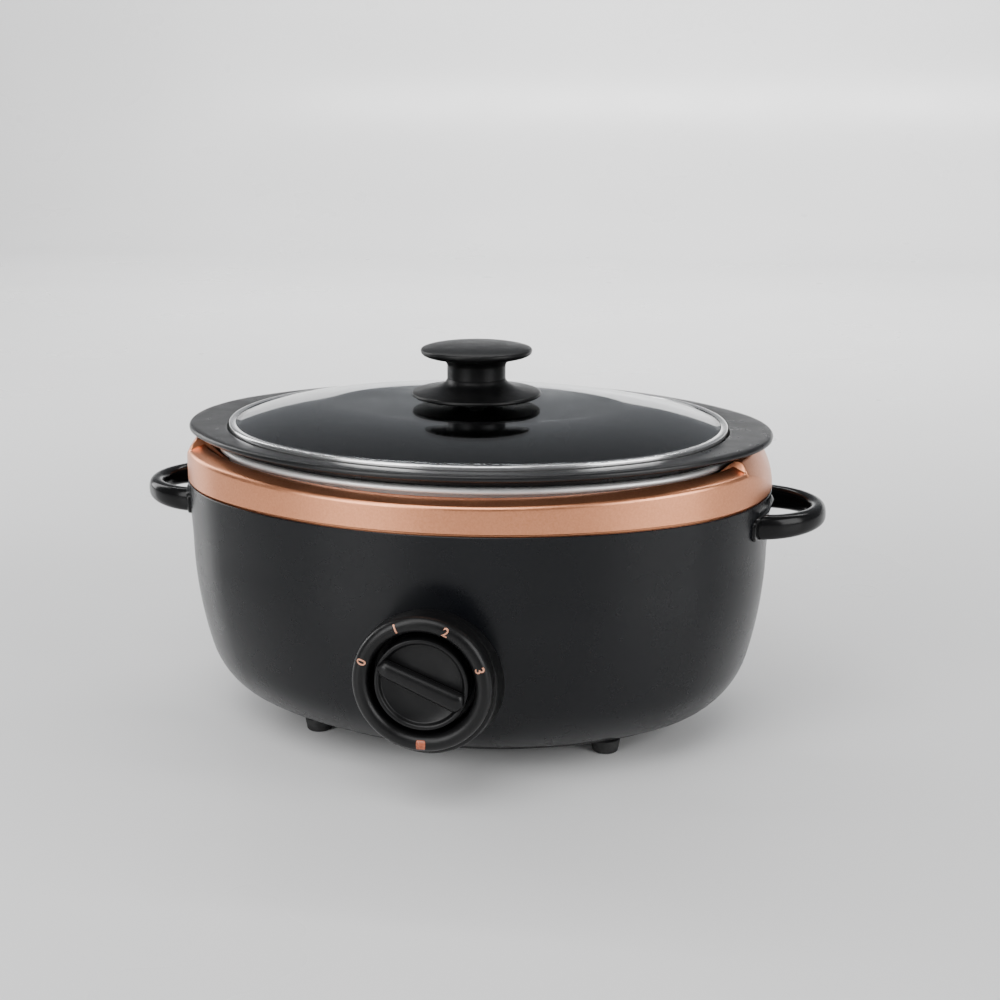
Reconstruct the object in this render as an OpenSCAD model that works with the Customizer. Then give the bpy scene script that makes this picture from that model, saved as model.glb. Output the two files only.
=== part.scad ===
// Oval slow cooker: a lift-off lid, a lift-out pot with two ears, and a heated base.
// Millimetres, +Z up, feet on z = 0, the control dial at the front (towards -Y).
// The origin is the centre of the footprint, so the body oval sits mid_y behind it.

/* [Body] */
// Half length of the copper trim oval
band_a = 159; // [157:0.5:161]
// Half depth of the copper trim oval
band_b = 122; // [121:0.5:124]
// Height of the seam under the copper trim
seam_z = 135; // [134:0.5:136]
// Height of the body's flat underside
belly_z = 9; // [9:0.5:11]
// Radius of the round at the bottom of the body
belly_r = 46; // [44:1:48]
// Lean of the side wall where the round begins, degrees
lean = 15; // [13:1:17]
// Thickness of the pressed steel body
skin_t = 1.2; // [1:0.1:1.3]

/* [Trim] */
// Height of the trim's front wall
trim_h = 14; // [13:0.5:15]
// How much higher the top of the trim is towards the ends
trim_rise = 4; // [3:0.5:4.5]
// Half width of the raised shoulder at each end
shoulder_w = 50; // [46:1:54]
// Height of the top of the shoulders
shoulder_z = 158.5; // [157:0.25:159]
// Radius of the convex face of a shoulder
shoulder_r = 35; // [34:1:38]

/* [Pot] */
// Half length of the pot's rim, over the ears
rim_a = 158.5; // [157:0.5:159]
// Half depth of the pot's rim
rim_b = 121.5; // [121:0.25:122]
// Height of the top of the pot's rim
rim_z = 163.5; // [163:0.25:164]
// Thickness of the rim plate
rim_t = 3.3; // [3:0.1:3.5]
// Half length of the pot's mouth
mouth_a = 132; // [131.5:0.25:132]
// Half depth of the pot's mouth
mouth_b = 103; // [102.5:0.25:103]
// Thickness of the pot's wall
pot_t = 2.5; // [2:0.25:2.5]

/* [Lid] */
// Half length of the lid
lid_a = 135; // [134.5:0.25:135.5]
// Half depth of the lid
lid_b = 111; // [110.5:0.25:111.5]
// Rise of the glass dome
dome_h = 9.5; // [8:0.5:10]
// Radius of the top of the lid knob
knob_r = 30; // [28:0.5:31]
// Radius of the flared base under the lid knob
skirt_r = 34.8; // [33:0.2:36]
// Height of the top of the knob above the glass
knob_h = 32; // [31:0.5:33]

/* [Control] */
// Height of the dial's centre
dial_z = 68; // [67:0.5:69]
// Radius of the bezel's face ring, outside
bezel_r = 33.5; // [33:0.25:34]
// Radius of the opening in the bezel
well_r = 25.6; // [25:0.2:26]
// Radius of the dial
dial_r = 22.5; // [21:0.25:23]
// Radius of the pod behind the face ring
pod_r = 34.5; // [34.2:0.1:35]
// How far the pod's axis falls toward the body, degrees
pod_fall = 16; // [14:1:17]
// How far the bezel stands out from the middle of the body
bezel_y = 145; // [144:0.5:146]
// Angle from the first mark to the last, degrees
dial_sweep = 141; // [120:1:150]
// Number of dial positions
dial_steps = 4; // [3:1:5]

/* [Handles] */
// How far each handle reaches from the middle of the body
handle_x = 187.5; // [186:0.5:189]
// Height of the handle's centre
handle_z = 121; // [119:0.5:122]
// Half width of the handle's loop
handle_w = 37; // [36:0.5:38]
// Height of the handle's rounded section
handle_h = 13; // [12:0.5:14]

/* [Hidden] */
$fn = 96;
// Neighbouring arcs of an oval lap by this angle, so they join.
lap = 0.001;

// The dial's grip is the front of the footprint and the trim is its back.
grip_y = bezel_y + 2;
mid_y = (grip_y - band_b) / 2;

// Body wall: a slight draft, a long round and a short round, down to a flat belly.
wall_draft = 1.5;
wall_z = 102;
wall_r = (wall_z - belly_z - belly_r * (1 - sin(lean))) / sin(lean);
belly_in = wall_draft + wall_r * (1 - cos(lean)) + belly_r * cos(lean);
shell_top = seam_z - 1;
belly_lip = 7;

// Copper trim.
trim_top = seam_z + trim_h;
trim_w = 9;
trim_wall = 2.8;
trim_web_z = 144.5;
trim_web_t = 2;
shoulder_land = 14;

// Heating well and its rolled rim.
well_a = mouth_a + pot_t + 1.5;
well_b = mouth_b + pot_t + 1.5;
well_t = 1;
well_floor = 26;
well_round = 24;
flange_w = 5.2;
flange_z = 151.4;
flange_top = 155;

// Pot.
pot_floor = 28.5;
pot_round = 23;
seat_z = rim_z - 2.3;
seat_gap = 0.8;
neck_z = flange_top + 0.3;
neck_w = 4.5;

// Lid.
hoop_t = 0.6;
glass_t = 2.8;
hoop_z = seat_z + 0.4;
glass_z = hoop_z + hoop_t;
glass_edge = glass_z + glass_t;
dome_w = 56;
dome_top = glass_edge + dome_h;
seal_t = 1.5;
skirt_z = dome_top + seal_t;
knob_top = dome_top + knob_h;
neck_r = 15.8;
knob_seam = skirt_z + 12;

// Control.
floor_y = bezel_y - 13;
floor_t = 2;
face_y = bezel_y - 1.5;
face_step = 2.5;
pod_front = bezel_y - 11;
pod_drop = 2.4;
cavity_r = pod_r - 2.3;
switch_hole_r = 21;
boss_x = 27;
spindle_r = 3;
run_gap = 0.05;
lamp_r = 29.3;
lens_w = 4.6;
first_mark = 160;

// Feet, fasteners and the rear inlet.
foot_x = 78;
foot_y = 49;
foot_h = belly_z - 2;
base_in = -8;
inlet_z = 32;
inlet_y = 116;
inlet_in = 104.8;
cord_r = 3.6;
stud_r = 2.5;

// Routes of the inner wires, from the rear inlet, the terminal block and the switch.
SUPPLY = [[0, 103.6, 32], [0, 100, 28], [2, 92, 22.5], [22, 80, 19], [48, 56, 19], [66, 36, 19], [71, 29.6, 18.4]];
HEATER = [[85, 22, 17], [100, 19, 17], [124, 10, 24], [137, 4, 36], [142, 2, 52], [139.9, 2, 66]];
SWITCH = [[73, 11, 18.4], [64, -30, 19], [44, -70, 19], [20, -91, 22], [11, -103, 32], [8, -108.8, 44],
  [7, -111, 53], [6.8, -112.2, 57.6]];
EARTH = [[85, 18, 15], [91, 6, 14.5], [91, -8, 12.8], [86, -16, 11.2]];

BLACK = [0.09, 0.095, 0.11];
GLOSS = [0.03, 0.03, 0.035];
COPPER = [0.80, 0.55, 0.43];
STEEL = [0.78, 0.78, 0.78];
BRASS = [0.75, 0.62, 0.30];
RUBBER = [0.08, 0.08, 0.08];
GLASS = [0.35, 0.36, 0.38, 0.6];
CERAMIC = [0.90, 0.88, 0.82];
AMBER = [0.85, 0.25, 0.08];

// ---------- shapes that repeat ----------

// Points of an arc about c, from angle a0 to a1.
function arc(c, r, a0, a1, n) =
  [for (i = [0:n]) c + r * [cos(a0 + (a1 - a0) * i / n), sin(a0 + (a1 - a0) * i / n)]];
function reversed(p) = [for (i = [len(p) - 1:-1:0]) p[i]];

// Body wall moved in by t, from the seam down to the belly.
function wall_line(t) = concat(
  [[-t, shell_top]],
  arc([-wall_draft - wall_r, wall_z], wall_r - t, 0, -lean, 5),
  arc([-belly_in, belly_z + belly_r], belly_r - t, -lean - 5, -90, 10));

// A deep dish moved in by t: straight from z1 down, then a round of radius r to the floor.
function dish_line(z1, z0, r, t) = concat([[-t, z1]], arc([-r, z0 + r], r - t, 0, -90, 8));

module behind() {
  translate([0, mid_y, 0]) children();
}

// Sweeps a 2-D section round an oval of four arcs. Section x is the distance outside the
// oval and section y is the height. The arcs' centres make right triangles with these two
// legs, so the arcs meet without a corner.
module swept(a, b, legs = [3, 4]) {
  turn = atan(legs[1] / legs[0]);
  unit = (a - b) / (legs[0] + legs[1] - norm(legs));
  cx = legs[0] * unit;
  cy = legs[1] * unit;
  for (s = [0, 180]) rotate([0, 0, s]) {
    translate([cx, 0, 0]) rotate([0, 0, -turn])
      rotate_extrude(angle = 2 * turn + lap) translate([a - cx, 0]) children();
    translate([0, -cy, 0]) rotate([0, 0, turn])
      rotate_extrude(angle = 180 - 2 * turn + lap) translate([b + cy, 0]) children();
  }
}

// A flat-sided band between two offsets and two heights.
module bar(x0, x1, z0, z1) {
  translate([x0, z0]) square([x1 - x0, z1 - z0]);
}

// A full oval plate. Its middle is a polygon that ends inside the swept border.
module oval_plate(a, b, z, t, border = 24) {
  swept(a, b) bar(-border, 0, z, z + t);
  translate([0, 0, z]) linear_extrude(t)
    polygon([for (i = [0:10:350]) [(a - border / 2) * cos(i), (b - border / 2) * sin(i)]]);
}

// The body as a solid, to trim what is fitted against its outside.
module body_solid() {
  swept(band_a, band_b)
    polygon(concat([[-40, shell_top]], wall_line(0), [[-belly_in, shell_top - 40], [-40, shell_top - 40]]));
}

// Puts the local Z axis on the dial's axis, with its zero at distance y in front of the middle.
module at_dial(y) {
  translate([0, -y, dial_z]) rotate([90, 0, 0]) children();
}

// A turned part on the dial's axis: section x is the radius, section y the distance in front.
module dial_turned() {
  at_dial(0) rotate_extrude() children();
}

// A pan-head screw with its head at z = 0 and its shank up to z = length.
module screw(r, length, head_r, head_h) {
  cylinder(r = r, h = length);
  difference() {
    translate([0, 0, -head_h]) cylinder(r1 = head_r * 0.8, r2 = head_r, h = head_h);
    for (a = [0, 90]) rotate([0, 0, a])
      translate([-head_r / 2, -0.4, -head_h - 1]) cube([head_r, 0.8, 1 + head_h / 2]);
  }
}

// A round wire through points, as one tube with eight sides.
function unit_of(v) = v / norm(v);
function along(p, i) =
  i == 0 ? unit_of(p[1] - p[0]) :
  i == len(p) - 1 ? unit_of(p[i] - p[i - 1]) :
  unit_of(unit_of(p[i + 1] - p[i]) + unit_of(p[i] - p[i - 1]));
module wire(p, r, side = [0.31, 0.17, 0.93]) {
  sides = 8;
  last = len(p) - 1;
  rings = [for (i = [0:last])
    let (d = along(p, i), u = unit_of(cross(d, side)), v = cross(u, d))
    for (j = [0:sides - 1]) p[i] + r * (cos(360 * j / sides) * u + sin(360 * j / sides) * v)];
  walls = [for (i = [0:last - 1]) for (j = [0:sides - 1])
    let (k = i * sides, n = (j + 1) % sides)
    for (half = [[k + j, k + n, k + sides + n], [k + j, k + sides + n, k + sides + j]]) half];
  ends = [[for (j = [sides - 1:-1:0]) j], [for (j = [0:sides - 1]) last * sides + j]];
  polyhedron(rings, concat(walls, ends), convexity = 6);
}
// The same route moved sideways by s, level with itself.
function beside(p, s) = [for (i = [0:len(p) - 1]) p[i] + s * unit_of(cross(along(p, i), [0.05, 0.08, 1]))];

// ---------- base ----------

// Pressed steel body: one skin that turns in under the belly.
module outer_shell() {
  lip = -belly_in - belly_lip;
  color(BLACK) behind() difference() {
    swept(band_a, band_b)
      polygon(concat(wall_line(0), [[lip, belly_z], [lip, belly_z + skin_t]], reversed(wall_line(skin_t))));
    at_dial(80) cylinder(r = switch_hole_r, h = 60);
    for (s = [-1, 1]) at_dial(80) translate([s * boss_x, 0, 0]) cylinder(r = 1.9, h = 60);
    translate([0, 95, inlet_z]) rotate([-90, 0, 0]) cylinder(r = 6.2, h = 30);
    for (s = [-1, 1], t = [-1, 1]) translate([s * 140, t * handle_grip, handle_z])
      rotate([0, s * 90, 0]) cylinder(r = 2, h = 30);
    for (f = FEET) at_foot(f) translate([0, 0, belly_z - 1]) cylinder(r = 2.1, h = 4);
  }
}

// Copper trim: a ring with a skirt, an inner web, and a raised shoulder under each ear.
module trim_band() {
  tall = trim_top + trim_rise + 2;
  sag_r = pow(band_a - 15, 2) / (2 * trim_rise);
  color(COPPER) behind() difference() {
    union() {
      difference() {
        swept(band_a, band_b) polygon([
          [0, seam_z], [0, tall], [-trim_w, tall], [-trim_w, trim_web_z + trim_web_t],
          [-shoulder_land, trim_web_z + trim_web_t], [-shoulder_land, trim_web_z], [-trim_wall, trim_web_z],
          [-trim_wall, seam_z - 4], [-trim_wall + 1.2, seam_z - 4], [-trim_wall + 1.2, seam_z]]);
        translate([0, 200, trim_top + sag_r]) rotate([90, 0, 0]) cylinder(r = sag_r, h = 400, $fn = 360);
      }
      swept(well_a + 0.4, well_b + 0.4) bar(0, 10, trim_web_z, trim_web_z + trim_web_t);
      intersection() {
        swept(band_a, band_b) bar(-shoulder_land, 0, trim_web_z, shoulder_z);
        translate([-200, -shoulder_w, 0]) cube([400, 2 * shoulder_w, 200]);
      }
    }
    shoulder_cut();
  }
}

// Everything outside the convex faces of the two shoulders, above the seam.
module shoulder_cut() {
  reach = band_a - shoulder_r;
  top = asin((shoulder_z + 1 - seam_z) / shoulder_r);
  rotate_extrude($fn = 180)
    polygon(concat(arc([reach, seam_z], shoulder_r, 0, top, 10), [[band_a + 20, shoulder_z + 1], [band_a + 20, seam_z]]));
}

// Bright metal well that holds the pot, with a rolled rim above the trim.
module heating_well() {
  color(STEEL) behind() {
    difference() {
      union() {
        swept(well_a, well_b) polygon(concat(
          dish_line(flange_z, well_floor, well_round, 0),
          reversed(dish_line(flange_top - 0.6, well_floor, well_round, well_t)),
          [[-well_t + 0.5, flange_top], [1.2, flange_top], [flange_w - 1, flange_top - 1.2],
           [flange_w, flange_top - 2.2], [flange_w, flange_z]]));
        oval_plate(well_a - well_round + 1, well_b - well_round + 1, well_floor, well_t);
      }
    }
  }
}

// Bottom cover with vents, under the belly's lip.
module base_plate() {
  color(BLACK) behind() difference() {
    oval_plate(band_a - belly_in - base_in, band_b - belly_in - base_in, foot_h, belly_z - foot_h);
    for (f = FEET) at_foot(f) translate([0, 0, foot_h - 1]) cylinder(r = 2.1, h = 6);
    translate([0, 0, foot_h - 1]) cylinder(r = stud_r + 0.3, h = 6);
    for (i = [-2:2], s = [-1, 1]) translate([i * 16 - 1.5, s * 24 - 9, foot_h - 1]) cube([3, 18, 6]);
  }
}

// Reflector tray under the well.
module heat_shield() {
  color(STEEL) behind() difference() {
    union() {
      oval_plate(60, 40, 18, 0.6, 16);
      swept(60, 40) bar(-0.6, 0, 18, 22);
    }
    translate([0, 0, 10]) cylinder(r = stud_r + 0.5, h = 20);
    for (s = [-1, 1]) translate([s * 35, 0, 10]) cylinder(r = 10.5, h = 20);
  }
}

FEET = [[-1, -1], [1, -1], [-1, 1], [1, 1]];
module at_foot(f) {
  translate([f[0] * foot_x, f[1] * foot_y, 0]) children();
}

// Rubber foot with a recess for its screw.
module foot(f) {
  color(RUBBER) behind() at_foot(f) rotate_extrude()
    polygon([[4.2, 0], [6.8, 0], [7.3, 0.6], [8, foot_h], [2.2, foot_h], [2.2, 4.4], [4.2, 4.4]]);
}
module foot_front_left() foot(FEET[0]);
module foot_front_right() foot(FEET[1]);
module foot_rear_left() foot(FEET[2]);
module foot_rear_right() foot(FEET[3]);

module foot_screws() {
  color(STEEL) behind() for (f = FEET) at_foot(f) translate([0, 0, 4.4]) screw(1.9, 10, 3.6, 2);
}

// Carry handle: a D-shaped loop of rounded section on a base plate that hugs the body.
handle_ring = 4.5;
handle_grip = handle_w - handle_ring;
module handle(side) {
  color(GLOSS) behind() rotate([0, 0, side > 0 ? 0 : 180]) difference() {
    union() {
      translate([handle_x - handle_w, 0, handle_z]) rotate([0, 0, -90]) rotate_extrude(angle = 180)
        translate([handle_grip, 0]) {
          for (s = [-1, 1]) translate([0, s * (handle_h / 2 - handle_ring)]) circle(handle_ring);
          square([2 * handle_ring, handle_h - 2 * handle_ring], center = true);
        }
      for (s = [-1, 1]) translate([handle_x - handle_w, s * handle_grip, handle_z]) rotate([0, -90, 0])
        linear_extrude(14) {
          for (t = [-1, 1]) translate([t * (handle_h / 2 - handle_ring), 0]) circle(handle_ring);
          square([handle_h - 2 * handle_ring, 2 * handle_ring], center = true);
        }
      intersection() {
        swept(band_a, band_b) bar(-4, 1.8, handle_z - 7, handle_z + 7);
        translate([100, -43, 0]) cube([100, 86, 200]);
      }
    }
    body_solid();
    for (s = [-1, 1]) translate([130, s * handle_grip, handle_z]) rotate([0, 90, 0]) cylinder(r = 1.75, h = 33);
  }
}
module left_handle() handle(-1);
module right_handle() handle(1);

module handle_screws() {
  color(STEEL) behind() for (s = [-1, 1], t = [-1, 1])
    translate([s * 150.6, t * handle_grip, handle_z]) rotate([0, s * 90, 0]) screw(1.6, 11.5, 3.2, 2);
}

// ---------- control ----------

// A cylinder that falls toward the body, cut square at its front.
module pod(r, front) {
  intersection() {
    at_dial(pod_front) translate([0, -pod_drop, 0]) rotate([-pod_fall, 0, 0])
      translate([0, 0, -50]) cylinder(r = r, h = 80);
    at_dial(90) cylinder(r = 60, h = front - 90);
  }
}

// Moulded bezel: a hollow pod scribed to the body, a deep floor, and a rounded face ring.
module control_bezel() {
  ring_r = (bezel_r + well_r) / 2;
  ring_w = (bezel_r - well_r) / 2;
  color(GLOSS) behind() difference() {
    union() {
      difference() {
        pod(pod_r, pod_front);
        pod(cavity_r, floor_y - floor_t);
        at_dial(floor_y - floor_t - 1) cylinder(r = well_r, h = 20);
      }
      dial_turned() polygon(concat(
        [[5, floor_y - floor_t], [bezel_r, floor_y - floor_t]],
        arc([ring_r, bezel_y - ring_w], ring_w, 0, 180, 12),
        [[well_r, floor_y], [5, floor_y]]));
      for (s = [-1, 1]) at_dial(100) translate([s * boss_x, 0, 0]) cylinder(r = 3.6, h = floor_y - 101);
    }
    body_solid();
    for (s = [-1, 1]) at_dial(100) translate([s * boss_x, 0, 0]) cylinder(r = 1.5, h = 28);
    at_dial(0) translate([-lens_w / 2, -lamp_r - lens_w / 2, bezel_y - 7]) cube([lens_w, lens_w, 10]);
    at_dial(floor_y - floor_t - 1) translate([0, -lamp_r, 0]) cylinder(r = 2.2, h = 12);
    mark_blocks();
  }
}

module bezel_screws() {
  color(STEEL) behind() for (s = [-1, 1])
    at_dial(114.1) translate([s * boss_x, 0, 0]) screw(1.4, 11, 3, 2);
}

// Inlaid marks on the face ring, one for each dial position.
module mark_blocks() {
  step = dial_sweep / (dial_steps - 1);
  at_dial(bezel_y - 1.6) for (i = [0:dial_steps - 1]) rotate([0, 0, first_mark - i * step])
    translate([(bezel_r + well_r) / 2 - 1.3, -0.5, 0]) cube([2.6, 1, 1.7]);
}
module dial_marks() {
  color(COPPER) behind() mark_blocks();
}

module indicator_lens() {
  color(AMBER) behind() at_dial(bezel_y - 6.9) translate([-lens_w / 2, -lamp_r - lens_w / 2, 0])
    cube([lens_w, lens_w, 6.6]);
}

module neon_lamp() {
  color(GLASS) behind() at_dial(124) translate([0, -lamp_r, 0]) {
    cylinder(r = 1.8, h = 11.5);
    translate([0, 0, 11.5]) sphere(r = 1.8, $fn = 32);
  }
}

// Rotary switch: a round body behind the bezel's floor, with a bush and four blades.
module rotary_switch() {
  back = 115;
  color(CERAMIC) behind() difference() {
    union() {
      at_dial(back) cylinder(r = 17, h = floor_y - floor_t - back);
      at_dial(back) cylinder(r = 4.6, h = floor_y - back);
      for (a = [45:90:315]) at_dial(back - 3.4) rotate([0, 0, a]) translate([9, -2, 0]) cube([0.8, 4, 4]);
    }
    at_dial(117) cylinder(r = spindle_r + run_gap, h = 30);
  }
}

// Dial: a shallow disc with a raised bar to grip, hollow behind.
module control_knob() {
  back = floor_y + 1;
  color(GLOSS) behind() difference() {
    union() {
      dial_turned() polygon([
        [0, back], [dial_r, back], [dial_r, face_y - 1.4], [dial_r - 1, face_y], [dial_r - 2.2, face_y],
        [dial_r - 3, face_y - face_step], [0, face_y - face_step]]);
      intersection() {
        at_dial(face_y - face_step - 1) rotate([0, 0, first_mark - 3]) grip_bar();
        at_dial(back) cylinder(r = dial_r - 0.3, h = 20);
      }
    }
    at_dial(back - 1) cylinder(r = spindle_r + 0.04, h = 7.6);
    dial_turned() bar(5.5, dial_r - 2, back - 1, back + 2);
  }
}

// The bar to grip: wide and low at the pointer's end, narrow and high at the middle.
module grip_bar() {
  rise = grip_y - face_y + face_step + 1;
  rotate([90, 0, 0]) translate([0, 0, -4]) linear_extrude(8)
    polygon([[-dial_r, 0], [-dial_r, 4], [-dial_r + 7, rise], [dial_r - 12, rise], [dial_r, 4.4], [dial_r, 0]]);
}

module knob_spindle() {
  color(STEEL) behind() difference() {
    at_dial(117.4) cylinder(r = spindle_r, h = floor_y + 6.4 - 117.4);
    at_dial(floor_y + 0.6) translate([1.6, -5, 0]) cube([5, 10, 10]);
  }
}

// ---------- heating parts inside the base ----------

// Wrapped heating element around the well, open at the back where the bolt draws it tight.
module heater_band() {
  color(CERAMIC) behind() {
    difference() {
      swept(well_a, well_b) bar(0.2, 2.6, 56, 92);
      translate([-7, 50, 50]) cube([14, 80, 50]);
    }
    for (s = [-1, 1]) difference() {
      translate([s * 8 - 1, well_b + 0.5, 62]) cube([2, 7.6, 24]);
      translate([s * 8 - 3, well_b + 5, 74]) rotate([0, 90, 0]) cylinder(r = 1.7, h = 6);
    }
  }
}

module clamp_bolt() {
  color(STEEL) behind() translate([-12, well_b + 5, 74]) rotate([0, 90, 0]) {
    screw(1.5, 32, 3, 2);
    translate([0, 0, 30]) cylinder(r = 2.9, h = 2, $fn = 6);
  }
}

module clamp_spring() {
  turns = 5;
  pitch = 1.6;
  color(STEEL) behind() translate([9.5, well_b + 5, 74])
    wire([for (i = [0:12 * turns]) [pitch * i / 12, 2.3 * cos(30 * i), 2.3 * sin(30 * i)]], 0.4, [1, 0, 0]);
}

module thermostat() {
  color(BRASS) behind() translate([35, 0, 0]) {
    translate([0, 0, 19.6]) cylinder(r = 8, h = 4);
    translate([0, 0, 23.6]) cylinder(r = 9.4, h = 2.4);
  }
}

module thermal_fuse() {
  color(CERAMIC) behind() translate([-42, 0, 22.8]) rotate([0, 90, 0]) {
    cylinder(r = 2, h = 14);
    translate([0, 0, -4]) cylinder(r = 0.6, h = 22);
  }
}

module fuse_clip() {
  color(STEEL) behind() translate([-38, 0, 0]) difference() {
    union() {
      translate([0, 0, 22.8]) rotate([0, 90, 0]) cylinder(r = 2.9, h = 6);
      translate([0, -7, 25.2]) cube([6, 14, 0.8]);
    }
    translate([-1, 0, 22.8]) rotate([0, 90, 0]) cylinder(r = 2.1, h = 8);
  }
}

// Ceramic terminal block with three ways.
module terminal_block() {
  color(CERAMIC) behind() difference() {
    translate([66, 13, belly_z]) cube([18, 14, 11]);
    for (i = [0:2]) translate([69.5 + i * 5.5, 20, belly_z + 5]) cylinder(r = 1.4, h = 10);
  }
}

module terminal_screws() {
  color(BRASS) behind() for (i = [0:2]) translate([69.5 + i * 5.5, 20, belly_z + 5.5]) cylinder(r = 1.3, h = 5.5);
}

module supply_leads() {
  color("saddlebrown") behind() for (i = [-1, 1]) wire(beside(SUPPLY, i * 1.4), 1);
}

module heater_leads() {
  color("white") behind() for (i = [-1, 1]) wire(beside(HEATER, i * 1.4), 1);
}

module switch_leads() {
  color("red") behind() for (i = [-1, 1]) wire(beside(SWITCH, i * 1.4), 1);
}

// Earth wire to a ring terminal on the base plate.
module earth_wire() {
  color("yellowgreen") behind() {
    wire(EARTH, 1);
    translate([84.6, -19, belly_z]) difference() {
      cylinder(r = 3.4, h = 0.8);
      translate([0, 0, -1]) cylinder(r = 1.6, h = 3);
    }
  }
}

// Rear inlet for the supply cord: a round boss with a through bore.
module cord_gland() {
  color(GLOSS) behind() difference() {
    union() {
      difference() {
        translate([0, 100, inlet_z]) rotate([-90, 0, 0]) cylinder(r = 9.5, h = inlet_y - 100);
        body_solid();
      }
      translate([0, inlet_in, inlet_z]) rotate([-90, 0, 0]) cylinder(r = 6, h = inlet_y - inlet_in - 1);
    }
    translate([0, inlet_in - 1, inlet_z]) rotate([-90, 0, 0]) cylinder(r = cord_r, h = 20);
  }
}

// Centre stud and nut that draw the well, the shield and the base plate together.
module well_stud() {
  color(STEEL) behind() translate([0, 0, 4.2]) cylinder(r = stud_r, h = well_floor - 4.2);
}

module well_nut() {
  color(STEEL) behind() translate([0, 0, foot_h - 3]) difference() {
    cylinder(r = 5, h = 3, $fn = 6);
    translate([0, 0, -1]) cylinder(r = stud_r + 0.02, h = 5);
  }
}

// ---------- pot ----------

// Non-stick pot: deep oval dish, a neck that rests on the well, and a wide rim with two ears.
module pot() {
  a = mouth_a + pot_t;
  b = mouth_b + pot_t;
  under = rim_z - rim_t;
  color(BLACK) behind() {
    difference() {
      union() {
        swept(a, b) polygon(concat(
          dish_line(seat_z, pot_floor, pot_round, 0), reversed(dish_line(seat_z, pot_floor, pot_round, pot_t))));
        swept(a, b) bar(-pot_t, neck_w, neck_z, seat_z);
        swept(a, b) bar(neck_w - 2, 12, under, rim_z);
        swept(rim_a, rim_b, [4, 3]) polygon(concat(
          [[-14, under], [-0.8, under], [0, under + 0.8]],
          arc([-1.4, rim_z - 1.4], 1.4, 0, 90, 3), [[-14, rim_z]]));
      }
      swept(lid_a + seat_gap, lid_b + seat_gap) bar(-40, 0, seat_z, rim_z + 5);
    }
    oval_plate(a - pot_round + 1, b - pot_round + 1, pot_floor, pot_t);
  }
}

// ---------- lid ----------

// Toughened glass: a flat edge, then a dome that levels out at the middle.
module lid_glass() {
  steps = 8;
  edge = 4;
  flat_in = edge + dome_w;
  top = concat([for (i = [0:steps]) let (s = 1 - i / steps)
    [-flat_in + dome_w * s, glass_edge + dome_h * (1 - s * s)]], [[-flat_in - 4, dome_top]]);
  color(GLASS) behind() difference() {
    union() {
      swept(lid_a, lid_b) polygon(concat(
        [[-hoop_t, glass_z], [-hoop_t, glass_edge]], top,
        [for (p = reversed(top)) p - [0, glass_t]]));
      oval_plate(lid_a - flat_in, lid_b - flat_in, dome_top - glass_t, glass_t, 20);
    }
    translate([0, 0, 150]) cylinder(r = 3.2, h = 60);
  }
}

// Steel hoop rolled round the edge of the glass.
module lid_rim() {
  color(STEEL) behind() swept(lid_a, lid_b) polygon([
    [0, hoop_z], [0, glass_edge + hoop_t - 0.5], [-0.5, glass_edge + hoop_t], [-3.6, glass_edge + hoop_t],
    [-3.6, glass_edge], [-hoop_t, glass_edge], [-hoop_t, glass_z], [-3.2, glass_z], [-3.2, hoop_z]]);
}

// Knob: a thick neck and a shallow domed disc.
module lid_knob() {
  edge_z = knob_top - 3.6;
  color(BLACK) behind() difference() {
    rotate_extrude() polygon(concat(
      [[0, knob_seam], [neck_r, knob_seam], [neck_r, edge_z - 6.5], [neck_r + 2.4, edge_z - 4.6], [knob_r - 2, edge_z - 1.4]],
      arc([knob_r - 1.5, edge_z], 1.5, -60, 60, 4),
      [[knob_r - 6, edge_z + 2.4], [knob_r - 14, edge_z + 3.4], [0, knob_top]]));
    translate([0, 0, knob_seam - 1]) cylinder(r = 2.4, h = 12);
  }
}

// Flared base that keeps fingers off the glass.
module knob_base() {
  edge_z = skirt_z + 3.4;
  color(BLACK) behind() difference() {
    rotate_extrude() polygon(concat(
      [[0, skirt_z], [12, skirt_z], [14, skirt_z + 1.6], [skirt_r - 1.4, edge_z - 1]],
      arc([skirt_r - 1.2, edge_z], 1.2, -60, 70, 4),
      [[neck_r + 8, skirt_z + 6.6], [neck_r + 2.4, skirt_z + 8.6], [neck_r, knob_seam - 1], [neck_r, knob_seam], [0, knob_seam]]));
    translate([0, 0, skirt_z - 1]) cylinder(r = 2.75, h = 20);
  }
}

module lid_screw() {
  color(STEEL) behind() translate([0, 0, dome_top - glass_t - 1]) screw(2.3, 24, 5, 3);
}

module lid_washer() {
  color(STEEL) behind() translate([0, 0, dome_top - glass_t - 1]) difference() {
    cylinder(r = 10, h = 1);
    translate([0, 0, -1]) cylinder(r = 2.5, h = 4);
  }
}

module lid_seal() {
  color(RUBBER) behind() translate([0, 0, dome_top]) difference() {
    cylinder(r = 9, h = seal_t);
    translate([0, 0, -1]) cylinder(r = 2.5, h = 4);
  }
}

outer_shell();
trim_band();
heating_well();
base_plate();
heat_shield();
foot_front_left();
foot_front_right();
foot_rear_left();
foot_rear_right();
foot_screws();
left_handle();
right_handle();
handle_screws();
control_bezel();
bezel_screws();
dial_marks();
indicator_lens();
neon_lamp();
rotary_switch();
heater_band();
clamp_bolt();
clamp_spring();
thermostat();
thermal_fuse();
fuse_clip();
terminal_block();
terminal_screws();
supply_leads();
heater_leads();
switch_leads();
earth_wire();
cord_gland();
well_stud();
well_nut();
pot();
lid_glass();
lid_rim();
lid_knob();
knob_base();
lid_screw();
lid_washer();
lid_seal();
control_knob();
knob_spindle();
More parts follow.
